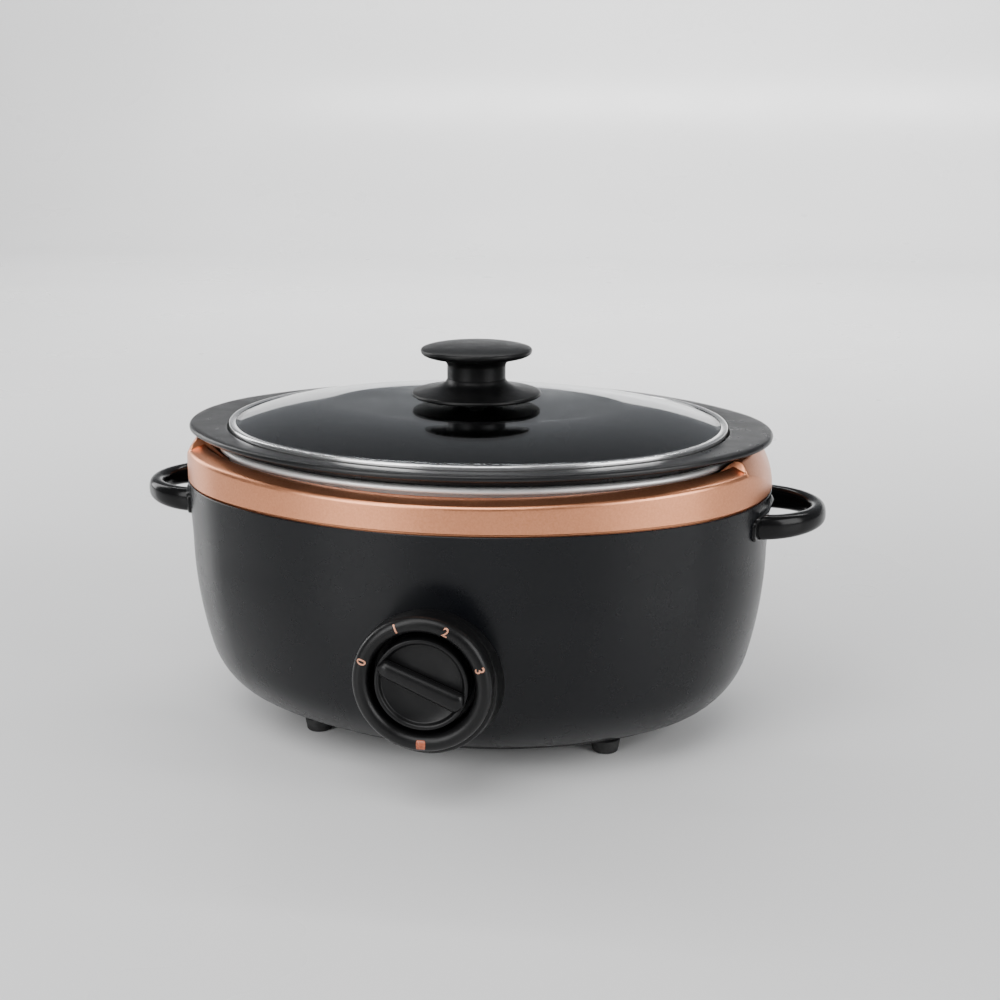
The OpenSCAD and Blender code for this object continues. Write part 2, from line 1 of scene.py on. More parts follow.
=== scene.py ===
"""Oval slow cooker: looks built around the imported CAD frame.

Every length is in metres. Sizes and places come from the CAD nodes' boxes, and the few that a box
can't give are named below. Black pressed steel, a copper-coloured trim, a polished well, a coated pot,
a glass lid and gloss plastic fittings are each a smooth closed mesh with a node-based material.
"""

import math

import bmesh
import bpy
from mathutils import Matrix, Vector


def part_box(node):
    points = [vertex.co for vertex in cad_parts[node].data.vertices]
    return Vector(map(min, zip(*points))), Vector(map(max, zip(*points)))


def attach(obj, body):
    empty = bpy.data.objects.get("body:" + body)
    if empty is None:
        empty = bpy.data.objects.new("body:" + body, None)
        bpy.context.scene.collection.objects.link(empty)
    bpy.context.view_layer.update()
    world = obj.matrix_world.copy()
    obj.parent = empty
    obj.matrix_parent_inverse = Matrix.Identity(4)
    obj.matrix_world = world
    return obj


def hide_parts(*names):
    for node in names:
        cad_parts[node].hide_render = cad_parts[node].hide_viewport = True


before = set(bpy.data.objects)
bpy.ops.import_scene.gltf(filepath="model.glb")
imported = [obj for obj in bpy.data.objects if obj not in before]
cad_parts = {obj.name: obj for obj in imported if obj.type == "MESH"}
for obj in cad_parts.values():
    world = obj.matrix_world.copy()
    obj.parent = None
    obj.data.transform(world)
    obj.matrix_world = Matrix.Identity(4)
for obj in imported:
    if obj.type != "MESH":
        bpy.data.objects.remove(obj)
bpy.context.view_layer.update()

MM = 0.001
TAU = 2 * math.pi

# ---------- sizes read from the frame ----------


def size_of(node):
    """Half length, half depth, lowest z and highest z of a CAD node."""
    lo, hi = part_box(node)
    return (hi.x - lo.x) / 2, (hi.y - lo.y) / 2, lo.z, hi.z


trim_lo, trim_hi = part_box("trim_band")
MID_Y = (trim_lo.y + trim_hi.y) / 2
BAND_A, BAND_B = size_of("trim_band")[:2]
SHOULDER_Z = trim_hi.z
BODY_A, BODY_B, BELLY_Z, SHELL_TOP = size_of("outer_shell")
SEAM_Z = SHELL_TOP + 1 * MM
FLANGE_A, FLANGE_B, WELL_FLOOR, FLANGE_TOP = size_of("heating_well")
FLANGE_W = 5.2 * MM
WELL_A, WELL_B = FLANGE_A - FLANGE_W, FLANGE_B - FLANGE_W
RIM_A, RIM_B, POT_FLOOR, RIM_Z = size_of("pot")
LID_A, LID_B, HOOP_Z, HOOP_TOP = size_of("lid_rim")
DOME_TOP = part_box("lid_glass")[1].z
GLASS_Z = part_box("lid_glass")[0].z
KNOB_R = size_of("lid_knob")[0]
KNOB_SEAM, KNOB_TOP = size_of("lid_knob")[2:]
SKIRT_R = size_of("knob_base")[0]
SKIRT_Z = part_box("knob_base")[0].z
bezel_lo, bezel_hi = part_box("control_bezel")
BEZEL_Y = MID_Y - bezel_lo.y
POD_R = (bezel_hi.x - bezel_lo.x) / 2
dial_lo, dial_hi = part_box("control_knob")
DIAL_Z = (dial_lo.z + dial_hi.z) / 2
DIAL_R = (dial_hi.x - dial_lo.x) / 2
GRIP_Y = MID_Y - dial_lo.y
DIAL_BACK = MID_Y - dial_hi.y
HANDLE_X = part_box("right_handle")[1].x
HANDLE_Z = sum(size_of("right_handle")[2:]) / 2

# Sizes that the boxes can't give, as in the CAD source.
BEZEL_R = 33.5 * MM
OPENING_R = 25.6 * MM
RECESS_Y = BEZEL_Y - 13 * MM
FACE_Y = BEZEL_Y - 1.5 * MM
POD_FRONT = BEZEL_Y - 11 * MM
POD_DROP = 2.4 * MM
POD_FALL = math.radians(16)
FIRST_MARK = math.radians(160)
DIAL_SWEEP = math.radians(141)
WALL_DRAFT = 1.5 * MM
WALL_Z = 102 * MM
BELLY_R = 46 * MM
LEAN = math.radians(15)
WALL_R = (WALL_Z - BELLY_Z - BELLY_R * (1 - math.sin(LEAN))) / math.sin(LEAN)
BELLY_IN = WALL_DRAFT + WALL_R * (1 - math.cos(LEAN)) + BELLY_R * math.cos(LEAN)

# ---------- camera ----------

CAMERA_TURN = math.radians(10.42)
CAMERA_RISE = math.radians(13.09)
CAMERA_AWAY = 0.8
AIM = Vector((0, MID_Y, 0.148))
SENSOR_MM = 36
LENS_MM = 52.73
LENS_SHIFT = (0.02355, -0.05075)


def make_camera():
    data = bpy.data.cameras.new("camera")
    data.sensor_width = SENSOR_MM
    data.lens = LENS_MM
    data.shift_x, data.shift_y = LENS_SHIFT
    data.clip_start = 0.05
    data.clip_end = 20
    camera = bpy.data.objects.new("camera", data)
    back = Vector((math.sin(CAMERA_TURN) * math.cos(CAMERA_RISE),
                   -math.cos(CAMERA_TURN) * math.cos(CAMERA_RISE), math.sin(CAMERA_RISE)))
    camera.location = AIM + back * CAMERA_AWAY
    camera.rotation_mode = "QUATERNION"
    camera.rotation_quaternion = (-back).to_track_quat("-Z", "Y")
    bpy.context.scene.collection.objects.link(camera)
    bpy.context.scene.camera = camera


# ---------- ovals and profiles ----------

AROUND = 288
ANGLES = [TAU * i / AROUND for i in range(AROUND)]


def oval(a, b, legs=(3, 4)):
    """Four-arc oval: end centre, side centre, end radius, side radius, and the angle where they meet."""
    unit = (a - b) / (legs[0] + legs[1] - math.hypot(*legs))
    cx, cy = legs[0] * unit, legs[1] * unit
    return cx, cy, a - cx, b + cy, math.atan2(legs[1], legs[0])


def on_oval(shape, angle, out=0.0):
    """The point outside the oval by `out` where the outward normal points along `angle`."""
    cx, cy, end_r, side_r, turn = shape
    c, s = math.cos(angle), math.sin(angle)
    if math.atan2(abs(s), abs(c)) <= turn:
        x, y = cx + (end_r + out) * abs(c), (end_r + out) * abs(s)
    else:
        x, y = (side_r + out) * abs(c), -cy + (side_r + out) * abs(s)
    return math.copysign(x, c), math.copysign(y, s)


def arc(cx, cy, r, start, end, steps):
    """Points of an arc in a profile, angles in degrees."""
    turn = [math.radians(start + (end - start) * i / steps) for i in range(steps + 1)]
    return [(cx + r * math.cos(t), cy + r * math.sin(t)) for t in turn]


def line(p, q, steps):
    """Points between p and q, both ends left out."""
    return [(p[0] + (q[0] - p[0]) * i / steps, p[1] + (q[1] - p[1]) * i / steps) for i in range(1, steps)]


def mm(points):
    return [(x * MM, y * MM) for x, y in points]


def blended(a, b, w):
    return a + (b - a) * w


# ---------- meshes ----------


def make_object(name, verts, faces, material, body, smooth=40):
    mesh = bpy.data.meshes.new(name)
    mesh.from_pydata([tuple(v) for v in verts], [], faces)
    mesh.validate()
    work = bmesh.new()
    work.from_mesh(mesh)
    bmesh.ops.remove_doubles(work, verts=work.verts, dist=2e-6)
    bmesh.ops.recalc_face_normals(work, faces=work.faces)
    work.to_mesh(mesh)
    work.free()
    mesh.polygons.foreach_set("use_smooth", [True] * len(mesh.polygons))
    mesh.set_sharp_from_angle(angle=math.radians(smooth))
    mesh.materials.append(material)
    piece = bpy.data.objects.new(name, mesh)
    bpy.context.scene.collection.objects.link(piece)
    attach(piece, body)
    return piece


def loft(name, rings, material, body, closed=False, smooth=40):
    """Skins rings of equal length. A closed loft joins its last ring to its first; an open one is capped."""
    count = len(rings[0])
    verts = [p for ring in rings for p in ring]
    faces = []
    rows = len(rings) if closed else len(rings) - 1
    for j in range(rows):
        here, there = j * count, (j + 1) % len(rings) * count
        for i in range(count):
            n = (i + 1) % count
            faces.append((here + i, here + n, there + n, there + i))
    if not closed:
        faces.append(tuple(range(count)))
        faces.append(tuple((len(rings) - 1) * count + i for i in range(count)))
    return make_object(name, verts, faces, material, body, smooth)


def oval_ring(shape, out, z):
    """One level ring of a swept oval, behind the frame's centre by MID_Y."""
    return [(x, y + MID_Y, z) for x, y in (on_oval(shape, t, out) for t in ANGLES)]


def swept(name, shape, profile, material, body, **options):
    return loft(name, [oval_ring(shape, x, z) for x, z in profile], material, body, **options)


def turned(name, profile, material, body, at=(0, 0, 0), forward=False, steps=128, **options):
    """A lathe about the vertical axis, or about the dial's axis where forward is set."""
    rings = []
    for r, h in profile:
        ring = []
        for i in range(steps):
            t = TAU * i / steps
            x, y = r * math.cos(t), r * math.sin(t)
            ring.append((at[0] + x, at[1] - h, at[2] + y) if forward else (at[0] + x, at[1] + y, at[2] + h))
        rings.append(ring)
    return loft(name, rings, material, body, **options)


# ---------- materials ----------


class Shader:
    """A Principled material with helpers for procedural detail in object space."""

    def __init__(self, name, color, roughness, metallic=0.0, **sockets):
        self.material = bpy.data.materials.new(name)
        self.material.use_nodes = True
        self.tree = self.material.node_tree
        self.base = self.tree.nodes["Principled BSDF"]
        self.base.inputs["Base Color"].default_value = (*color, 1)
        self.base.inputs["Roughness"].default_value = roughness
        self.base.inputs["Metallic"].default_value = metallic
        for socket, value in sockets.items():
            self.base.inputs[socket.replace("_", " ")].default_value = value
        self.place = self.add("ShaderNodeTexCoord").outputs["Object"]
        self.height = None

    def add(self, kind, **values):
        node = self.tree.nodes.new(kind)
        for key, value in values.items():
            if key in node.inputs:
                node.inputs[key].default_value = value
            else:
                setattr(node, key, value)
        return node

    def link(self, output, socket):
        self.tree.links.new(output, socket)

    def stretched(self, x, y, z):
        """Object coordinates scaled per axis, for brushed or drawn grain."""
        mapping = self.add("ShaderNodeMapping")
        mapping.inputs["Scale"].default_value = (x, y, z)
        self.link(self.place, mapping.inputs["Vector"])
        return mapping.outputs["Vector"]

    def noise(self, scale, detail=2.0, rough=0.5, place=None):
        node = self.add("ShaderNodeTexNoise", Scale=scale, Detail=detail, Roughness=rough)
        self.link(place or self.place, node.inputs["Vector"])
        return node.outputs["Fac"]

    def between(self, factor, low, high, start=0.3, end=0.7):
        node = self.add("ShaderNodeMapRange")
        node.inputs["From Min"].default_value = start
        node.inputs["From Max"].default_value = end
        node.inputs["To Min"].default_value = low
        node.inputs["To Max"].default_value = high
        self.link(factor, node.inputs["Value"])
        return node.outputs["Result"]

    def colors(self, factor, low, high, start=0.35, end=0.65):
        node = self.add("ShaderNodeValToRGB")
        node.color_ramp.elements[0].position = start
        node.color_ramp.elements[0].color = (*low, 1)
        node.color_ramp.elements[1].position = end
        node.color_ramp.elements[1].color = (*high, 1)
        self.link(factor, node.inputs["Fac"])
        self.link(node.outputs["Color"], self.base.inputs["Base Color"])

    def roughness(self, factor, low, high):
        self.link(self.between(factor, low, high), self.base.inputs["Roughness"])

    def bump(self, factor, strength, distance):
        node = self.add("ShaderNodeBump", Strength=strength, Distance=distance)
        self.link(factor, node.inputs["Height"])
        if self.height is not None:
            self.link(self.height, node.inputs["Normal"])
        self.height = node.outputs["Normal"]
        self.link(self.height, self.base.inputs["Normal"])


def black_paint():
    """Satin black stoving paint: a faint orange peel, a slight blue cast and hand-worn patches of gloss."""
    s = Shader("body_paint", (0.0030, 0.0034, 0.0044), 0.27, Specular_IOR_Level=0.24)
    s.colors(s.noise(14, 3), (0.0026, 0.0030, 0.0039), (0.0036, 0.0040, 0.0052))
    s.roughness(s.noise(38, 4, 0.6), 0.24, 0.31)
    s.bump(s.noise(620, 2), 0.08, 0.0001)
    s.bump(s.noise(2600, 1), 0.08, 0.00003)
    return s.material


def copper_paint():
    """Copper-coloured metallic lacquer: fine flakes under a satin coat."""
    s = Shader("trim_copper", (0.71, 0.29, 0.15), 0.32, 0.95)
    s.colors(s.noise(900, 3, 0.7), (0.66, 0.26, 0.13), (0.76, 0.33, 0.18), 0.3, 0.7)
    s.roughness(s.noise(60, 4, 0.6), 0.28, 0.36)
    s.bump(s.noise(1900, 2, 0.7), 0.10, 0.00003)
    return s.material


def polished_steel(name, low, high, metal):
    """Bright pressed steel with a faint circumferential grain and light wipe marks."""
    s = Shader(name, (0.86, 0.86, 0.86), 0.14, metal)
    s.colors(s.noise(22, 4, 0.6), (0.82, 0.82, 0.82), (0.90, 0.90, 0.89))
    s.roughness(s.noise(90, 5, 0.65, s.stretched(1, 1, 9)), low, high)
    s.bump(s.noise(500, 2, 0.5, s.stretched(0.4, 0.4, 6)), 0.05, 0.00002)
    return s.material


def pot_coating():
    """Non-stick coating: black, satin, with very fine light flecks and a soft stipple."""
    s = Shader("pot_coating", (0.007, 0.007, 0.0075), 0.30, Specular_IOR_Level=0.3)
    s.colors(s.noise(3200, 1), (0.006, 0.006, 0.0065), (0.022, 0.022, 0.023), 0.62, 0.74)
    s.roughness(s.noise(70, 4, 0.6), 0.26, 0.36)
    s.bump(s.noise(1400, 2, 0.6), 0.12, 0.00004)
    return s.material


def knob_plastic():
    """Black satin plastic with a fine spark-eroded grain."""
    s = Shader("knob_plastic", (0.0028, 0.0028, 0.0030), 0.38, Specular_IOR_Level=0.22)
    s.colors(s.noise(60, 3), (0.0024, 0.0024, 0.0026), (0.0034, 0.0034, 0.0036))
    s.roughness(s.noise(120, 4, 0.6), 0.34, 0.44)
    s.bump(s.noise(2100, 3, 0.7), 0.22, 0.00005)
    return s.material


def gloss_plastic(name="gloss_plastic", low=0.15, high=0.24, level=0.18):
    """Moulded black plastic, with faint flow ripple and fingerprints."""
    s = Shader(name, (0.0042, 0.0042, 0.0045), 0.16, Specular_IOR_Level=level)
    s.colors(s.noise(30, 2), (0.0038, 0.0038, 0.0040), (0.0052, 0.0052, 0.0055))
    s.roughness(s.noise(150, 5, 0.7), low, high)
    s.bump(s.noise(240, 1), 0.05, 0.00006)
    return s.material


def lid_glass_material():
    s = Shader("lid_glass", (0.62, 0.64, 0.66), 0.03, Transmission_Weight=1.0, IOR=1.5)
    s.colors(s.noise(9, 2), (0.58, 0.60, 0.62), (0.66, 0.68, 0.70))
    s.roughness(s.noise(26, 3), 0.02, 0.05)
    s.bump(s.noise(18, 1), 0.02, 0.0002)
    return s.material


def rubber():
    value = 0.016
    s = Shader("rubber", (value, value, value), 0.75)
    s.colors(s.noise(300, 4), (value * 0.8,) * 3, (value * 1.5,) * 3)
    s.roughness(s.noise(500, 4), 0.65, 0.85)
    s.bump(s.noise(1500, 3, 0.7), 0.3, 0.0001)
    return s.material


def lamp_plastic():
    """Amber lamp cover: translucent, ribbed inside, unlit."""
    s = Shader("lamp_amber", (0.42, 0.10, 0.045), 0.22, Transmission_Weight=0.25, IOR=1.49)
    s.colors(s.noise(700, 2), (0.34, 0.08, 0.035), (0.50, 0.13, 0.06))
    wave = s.add("ShaderNodeTexWave", Scale=260)
    s.link(s.place, wave.inputs["Vector"])
    s.bump(wave.outputs["Fac"], 0.25, 0.0002)
    return s.material


def copper_print():
    s = Shader("copper_print", (0.60, 0.27, 0.17), 0.45, 0.35)
    s.colors(s.noise(2400, 3), (0.52, 0.22, 0.13), (0.70, 0.34, 0.22))
    s.bump(s.noise(3000, 2), 0.1, 0.00002)
    return s.material


def plain(name, color, roughness, metallic=0.0, grain=900):
    """Small inner parts: a slight mottle, roughness variation and a fine grain."""
    s = Shader(name, color, roughness, metallic)
    s.colors(s.noise(grain / 6, 4), tuple(c * 0.82 for c in color), tuple(min(1, c * 1.12) for c in color))
    s.roughness(s.noise(grain / 3, 4), roughness * 0.85, min(1, roughness * 1.2))
    s.bump(s.noise(grain, 3), 0.15, 0.00004)
    return s.material


PAINT = black_paint()
COPPER = copper_paint()
STEEL = polished_steel("well_steel", 0.40, 0.50, 0.6)
HOOP = polished_steel("hoop_steel", 0.14, 0.22, 0.95)
COATING = pot_coating()
KNOB = knob_plastic()
GLOSS = gloss_plastic()
RING = gloss_plastic("ring_plastic", 0.30, 0.38, 0.24)
DIAL = gloss_plastic("dial_plastic", 0.30, 0.38, 0.24)
GLASS = lid_glass_material()
RUBBER = rubber()
LAMP = lamp_plastic()
PRINT = copper_print()
SCREW = plain("screw_steel", (0.55, 0.55, 0.54), 0.32, 1.0)
SHEET = plain("sheet_steel", (0.60, 0.60, 0.59), 0.38, 1.0, 500)
COVER = plain("cover_black", (0.016, 0.016, 0.017), 0.55, 0.0, 700)
CERAMIC = plain("ceramic", (0.78, 0.75, 0.68), 0.6)
BRASS = plain("brass", (0.62, 0.46, 0.20), 0.34, 1.0)
SWITCH = plain("switch_body", (0.22, 0.21, 0.19), 0.55)
NEON = plain("neon_glass", (0.80, 0.62, 0.50), 0.2)

# ---------- base ----------

BAND = oval(BAND_A, BAND_B)
WELL = oval(WELL_A, WELL_B)


def wall_points(inset):
    """The body wall moved in by `inset`, from the seam down to the belly."""
    out = [(-inset, SHELL_TOP)]
    out += line((-inset, SHELL_TOP), (-WALL_DRAFT - inset, WALL_Z), 6)
    out += arc(-WALL_DRAFT - WALL_R, WALL_Z, WALL_R - inset, 0, -math.degrees(LEAN), 12)
    out += arc(-BELLY_IN, BELLY_Z + BELLY_R, BELLY_R - inset, -math.degrees(LEAN) - 5, -90, 16)
    return out


def inset_at(z):
    """How far the body's wall is inside the trim's oval at height z."""
    if z >= WALL_Z:
        return WALL_DRAFT * (SHELL_TOP - z) / (SHELL_TOP - WALL_Z)
    turn = math.asin((WALL_Z - z) / WALL_R)
    if turn <= LEAN:
        return WALL_DRAFT + WALL_R * (1 - math.cos(turn))
    drop = min(1, (BELLY_Z + BELLY_R - z) / BELLY_R)
    return BELLY_IN - BELLY_R * math.cos(math.asin(drop))


def front_depth(x, z):
    """How far in front of the oval's centre the body's skin is, near the middle of the front."""
    cy, side_r = BAND[1], BAND[3]
    return math.sqrt((side_r - inset_at(z)) ** 2 - x * x) - cy


def body_skin():
    skin = 1.2 * MM
    fold = 0.35 * MM
    outer = wall_points(0)
    inner = wall_points(skin)
    lip = -BELLY_IN - 7 * MM
    profile = [(-skin + fold, SHELL_TOP), (-fold, SHELL_TOP), (0, SHELL_TOP - fold)] + outer[1:]
    profile += [(lip, BELLY_Z), (lip, BELLY_Z + skin)] + inner[:0:-1] + [(-skin, SHELL_TOP - fold)]
    piece = swept("body_skin", oval(BODY_A, BODY_B), profile, PAINT, "base", closed=True)
    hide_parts("outer_shell")


TRIM_FRONT = 14 * MM
TRIM_RISE = 4 * MM
SHOULDER_HALF = 50 * MM
SHOULDER_R = 35 * MM
SHOULDER_LAND = 9 * MM


def trim_top(x):
    """Height of the top edge of the trim's wall, a little higher towards the ends."""
    return SEAM_Z + TRIM_FRONT + TRIM_RISE * (x / (BAND_A - 15 * MM)) ** 2


def shoulder_reach(z):
    """Distance of a shoulder's convex face from the vertical axis."""
    rise = min(SHOULDER_R, max(0.0, z - SEAM_Z))
    return BAND_A - SHOULDER_R + math.sqrt(SHOULDER_R ** 2 - rise ** 2)


def shoulder_out(angle, z):
    """How far outside the trim's oval the shoulder's face is, never outside the wall."""
    x0, y0 = on_oval(BAND, angle)
    c, s = math.cos(angle), math.sin(angle)
    along = x0 * c + y0 * s
    reach = shoulder_reach(z)
    return min(0.0, -along + math.sqrt(max(0.0, along ** 2 - (x0 ** 2 + y0 ** 2 - reach ** 2))))


def crease_height(angle):
    """Where the shoulder's face leaves the wall."""
    across = math.hypot(*on_oval(BAND, angle)) - (BAND_A - SHOULDER_R)
    return SEAM_Z + math.sqrt(max(0.0, SHOULDER_R ** 2 - across ** 2))


WEB_TOP = 146.5 * MM
WEB_LOW = 144.5 * MM
WALL_STEPS = 6
FACE_STEPS = 12


def trim_section(angle, raised):
    """One section of the trim as (offset, z). Plain and raised sections have the same number of points."""
    x = on_oval(BAND, angle)[0]
    start = SEAM_Z + 0.5 * MM
    if raised:
        crease = max(start + 0.3 * MM, min(crease_height(angle), SHOULDER_Z - 3 * MM))
        top = SHOULDER_Z - 1.2 * MM
        face = []
        for i in range(FACE_STEPS):
            z = blended(crease, top, i / (FACE_STEPS - 1))
            face.append((shoulder_out(angle, z), z))
        edge = face[-1][0]
        crown = [(edge + x * MM, SHOULDER_Z - z * MM) for x, z in ((-0.5, 0.45), (-1.0, 0.12), (-1.8, 0))]
        crown += [(-SHOULDER_LAND + 0.6 * MM, SHOULDER_Z), (-SHOULDER_LAND, SHOULDER_Z - 0.6 * MM)]
    else:
        bend = 2.4 * MM
        slope = math.radians(17)
        crease = trim_top(x) - bend
        face = []
        for i in range(FACE_STEPS):
            t = (math.pi / 2 - slope) * i / (FACE_STEPS - 1)
            face.append((-bend + bend * math.cos(t), crease + bend * math.sin(t)))
        last = face[-1]
        inner = -9 * MM
        rise = (last[0] - inner) * math.tan(slope)
        crown = [(blended(last[0], inner, w), last[1] + rise * w) for w in (0.25, 0.6, 0.92)]
        lip = inner - 0.3 * MM
        crown += [(lip, last[1] + rise - 0.3 * MM), (lip, last[1] + rise - 1.2 * MM)]
    wall = [(-0.5 * MM, SEAM_Z), (0, start)]
    wall += [(0, blended(start, crease, i / WALL_STEPS)) for i in range(1, WALL_STEPS)]
    return wall + face + crown


def trim_ring():
    """Copper trim with a raised shoulder under each ear of the pot."""
    edge = math.asin(SHOULDER_HALF / BAND[2])
    step = math.radians(0.42)
    ramp = [(-2.2, 0.0), (-1.2, 0.02), (-0.4, 0.12), (0.4, 0.88), (1.2, 0.98), (2.2, 1.0)]
    stations = []
    for t in ANGLES:
        folded = min(abs(math.remainder(t, TAU)), abs(math.remainder(t - math.pi, TAU)))
        if abs(folded - edge) > step * 2.6:
            stations.append((t, 1.0 if folded < edge else 0.0))
    for middle in (0, math.pi):
        for side in (-1, 1):
            stations += [(middle + side * (edge - k * step), w) for k, w in ramp]
    stations = sorted((t % TAU, w) for t, w in stations)
    beside_well = 0.6 * MM
    tongue_in, tongue_out, tongue_z = -2.8 * MM, -1.6 * MM, SEAM_Z - 4 * MM
    columns = []
    for t, w in stations:
        plain_section, raised_section = trim_section(t, False), trim_section(t, True)
        column = []
        for (low_out, low_z), (high_out, high_z) in zip(plain_section, raised_section):
            column.append((*on_oval(BAND, t, blended(low_out, high_out, w)), blended(low_z, high_z, w)))
        for z in (WEB_TOP, WEB_LOW):
            column.append((*on_oval(WELL, t, beside_well), z))
        for out, z in ((tongue_in, WEB_LOW), (tongue_in, tongue_z),
                       (tongue_out, tongue_z), (tongue_out, SEAM_Z)):
            column.append((*on_oval(BAND, t, out), z))
        columns.append([(x, y + MID_Y, z) for x, y, z in column])
    rings = [list(ring) for ring in zip(*columns)]
    piece = loft("trim_ring", rings, COPPER, "base", closed=True, smooth=32)
    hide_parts("trim_band")


def dish(floor, round_r, out, top):
    """Profile of a dish from its middle to the top of its wall. `out` moves it outwards."""
    centre_z = floor + round_r
    r = round_r + out
    flat = -70 * MM
    base = [(flat, centre_z - r), (-round_r * 1.4, centre_z - r)]
    return base + arc(-round_r, centre_z, r, -90, 0, 18) + [(out, top)]


def well_shell():
    """Bright well with a rolled rim."""
    wall = 1 * MM
    corner = 24 * MM
    inside = dish(WELL_FLOOR, corner, -wall, FLANGE_TOP - 1.6 * MM)
    outside = dish(WELL_FLOOR, corner, 0, FLANGE_TOP - 4 * MM)
    rim = [(x, FLANGE_TOP + z) for x, z in mm(arc(3.5, -1.7, 1.7, -90, 90, 10))]
    crown = [(x, FLANGE_TOP + z) for x, z in mm([(1.6, 0.0), (0.2, -0.06), (-0.5, -0.35), (-0.9, -0.9)])]
    profile = outside + rim + crown + inside[::-1]
    piece = swept("well_shell", WELL, profile, STEEL, "base")
    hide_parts("heating_well")


def feet():
    """Moulded feet with a rounded tread and a recess for the screw."""
    top = BELLY_Z - 2 * MM
    for where in ("front_left", "front_right", "rear_left", "rear_right"):
        node = "foot_" + where
        lo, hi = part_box(node)
        outer = (hi.x - lo.x) / 2
        profile = mm([(2.2, 4.4), (4.2, 4.4), (4.2, 0.5)]) + mm(arc(4.9, 0.7, 0.7, 180, 270, 4))
        tread = outer - 2.2 * MM
        profile += [(tread + x, 1.0 * MM + z) for x, z in mm(arc(0, 0, 1.0, -90, -10, 6))]
        profile += [(outer - 0.25 * MM, top - 0.6 * MM), (outer - 0.5 * MM, top)]
        profile += [(2.2 * MM, top)]
        centre = ((lo.x + hi.x) / 2, (lo.y + hi.y) / 2, 0)
        piece = turned(node + "_pad", profile, RUBBER, "base", centre, steps=64, closed=True)
        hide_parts(node)


def handle(side, name, node):
    """Carry handle: a D loop with a waisted section, flared into a plate that hugs the body."""
    grip = 32.5 * MM
    straight = HANDLE_X - grip - 4.5 * MM
    tall, thick = 6.5 * MM, 4.5 * MM
    root = 11 * MM
    root_steps, bend_steps, section_steps, plate_steps = 5, 40, 32, 96
    front, back = [[(straight - root * (1 - i / root_steps), y_side * grip, 1 - i / root_steps)
                    for i in range(root_steps)] for y_side in (-1, 1)]
    bend = [(straight + grip * math.cos(t), grip * math.sin(t), 0.0)
            for t in (math.radians(-90 + 180 * i / bend_steps) for i in range(bend_steps + 1))]
    route = front + bend + back[::-1]
    rings = []
    for i, (x, y, flare) in enumerate(route):
        a, b = route[max(0, i - 1)], route[min(len(route) - 1, i + 1)]
        tangent = Vector((b[0] - a[0], b[1] - a[1], 0)).normalized()
        out = Vector((tangent.y, -tangent.x, 0))
        grow = 1 + 0.45 * flare ** 3
        ring = []
        for k in range(section_steps):
            t = TAU * k / section_steps
            c, s = math.cos(t), math.sin(t)
            u = math.copysign(abs(c) ** 0.80, c) * thick
            v = math.copysign(abs(s) ** 0.74, s) * tall
            low = 1 - 0.34 * max(0.0, (x - straight) / grip) ** 2 * (s < 0)
            p = Vector((x, y, HANDLE_Z)) + out * u * grow + Vector((0, 0, v * low))
            ring.append((side * p.x, side * p.y + MID_Y, p.z))
        rings.append(ring)
    loop = loft(name, rings, GLOSS, "base")
    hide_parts(node)
    plate = []
    half_wide, half_tall = 43, 7
    for out_by, shrink in ((-0.3, 0), (1.0, 0), (1.6, 0.35), (1.8, 1.0)):
        ring = []
        for k in range(plate_steps):
            t = TAU * k / plate_steps
            c, s = math.cos(t), math.sin(t)
            across = math.copysign(abs(c) ** 0.22, c) * (half_wide - shrink) * MM
            z = HANDLE_Z + math.copysign(abs(s) ** 0.5, s) * (half_tall - shrink) * MM
            turn = math.asin(across / BAND[2])
            x, y = on_oval(BAND, turn, out_by * MM - inset_at(z))
            ring.append((side * x, side * y + MID_Y, z))
        plate.append(ring)
    loft(name + "_plate", plate, GLOSS, "base")


# ---------- control ----------

RING_R = (BEZEL_R + OPENING_R) / 2
RING_W = (BEZEL_R - OPENING_R) / 2
DIAL_CENTRE = (0, MID_Y, DIAL_Z)
DIAL_STEP = 2.5 * MM
POD_STEPS = 160
POD_WALL = 2.3 * MM
SPINDLE_HOLE = 5 * MM
LAMP_DROP = 29.3 * MM


def ring_depth(r):
    """How far forward the bezel's rounded face is at radius r."""
    return BEZEL_Y - RING_W + math.sqrt(max(0.0, RING_W ** 2 - (r - RING_R) ** 2))


def pod_ring(r, depth):
    """A ring of the pod: its axis falls toward the body. Without a depth, it lies on the body's skin."""
    ring = []
    for i in range(POD_STEPS):
        t = TAU * i / POD_STEPS
        d = POD_FRONT if depth is None else depth
        for _ in range(8):
            x = r * math.cos(t)
            fall = (POD_FRONT - d) * math.tan(POD_FALL)
            z = DIAL_Z - POD_DROP - fall + r * math.sin(t) / math.cos(POD_FALL)
            d = front_depth(x, z) - 0.1 * MM if depth is None else depth
        ring.append((x, MID_Y - d, z))
    return ring


